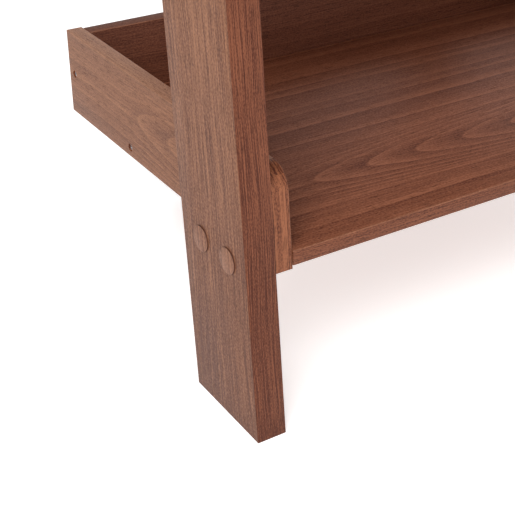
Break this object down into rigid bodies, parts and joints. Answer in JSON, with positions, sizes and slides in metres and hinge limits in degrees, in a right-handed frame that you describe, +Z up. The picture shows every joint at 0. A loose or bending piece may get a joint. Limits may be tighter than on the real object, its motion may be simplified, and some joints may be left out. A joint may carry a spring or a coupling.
{
  "type": "folding luggage rack",
  "caption": "Wooden luggage rack on raked board legs, with an open-fronted lower tray and a slatted deck that folds up on hinges.",
  "frame": {"origin": "on the floor, under the middle of the rack's bounding box", "axes": "+Z up, the open front faces -Y, +X runs along the rack's length to its right-hand leg seen from the front"},
  "size_m": [0.642, 0.3778, 0.6],
  "materials": {
    "walnut": "satin walnut-grain laminate",
    "batten_walnut": "satin walnut stain",
    "cap_walnut": "satin walnut-grain foil",
    "zinc_steel": "zinc plated",
    "hinge_nickel": "satin nickel",
    "rubber": "matt"
  },
  "bodies": {
    "rack_frame": {"left_leg": "walnut", "tray_left_side": "walnut", "upper_left_side": "walnut", "right_leg": "walnut", "tray_right_side": "walnut", "upper_right_side": "walnut", "tray_bottom": "walnut", "tray_back": "walnut", "front_stretcher": "walnut", "back_rail": "walnut", "left_upright": "walnut", "right_upright": "walnut", "guard_rail": "walnut", "left_cleat": "batten_walnut", "right_cleat": "batten_walnut", "left_leg_cap_1": "cap_walnut", "left_leg_cap_2": "cap_walnut", "left_leg_cap_3": "cap_walnut", "left_leg_cap_4": "cap_walnut", "right_leg_cap_1": "cap_walnut", "right_leg_cap_2": "cap_walnut", "right_leg_cap_3": "cap_walnut", "right_leg_cap_4": "cap_walnut", "left_leg_screw_1": "zinc_steel", "left_leg_screw_2": "zinc_steel", "left_leg_screw_3": "zinc_steel", "left_leg_screw_4": "zinc_steel", "right_leg_screw_1": "zinc_steel", "right_leg_screw_2": "zinc_steel", "right_leg_screw_3": "zinc_steel", "right_leg_screw_4": "zinc_steel", "left_side_screw_1": "zinc_steel", "left_side_screw_2": "zinc_steel", "left_side_screw_3": "zinc_steel", "right_side_screw_1": "zinc_steel", "right_side_screw_2": "zinc_steel", "right_side_screw_3": "zinc_steel", "left_hinge_pin": "zinc_steel", "right_hinge_pin": "zinc_steel", "left_hinge_fixed_leaf": "hinge_nickel", "right_hinge_fixed_leaf": "hinge_nickel", "deck_bumper_1": "rubber", "deck_bumper_2": "rubber", "deck_bumper_3": "rubber", "deck_bumper_4": "rubber", "guard_bumper_1": "rubber", "guard_bumper_2": "rubber"},
    "deck": {"deck_slat_1": "walnut", "deck_slat_2": "walnut", "deck_slat_3": "walnut", "deck_slat_4": "walnut", "deck_slat_5": "walnut", "deck_slat_6": "walnut", "deck_left_batten": "batten_walnut", "deck_middle_batten": "batten_walnut", "deck_right_batten": "batten_walnut", "left_hinge_moving_leaf": "hinge_nickel", "right_hinge_moving_leaf": "hinge_nickel"}
  },
  "joints": [
    {"name": "deck_fold", "type": "hinge", "parent": "rack_frame", "child": "deck", "pos_m": [0, 0.1581, 0.5095], "axis": [-1, 0, 0], "range_deg": [0, 94]}
  ]
}
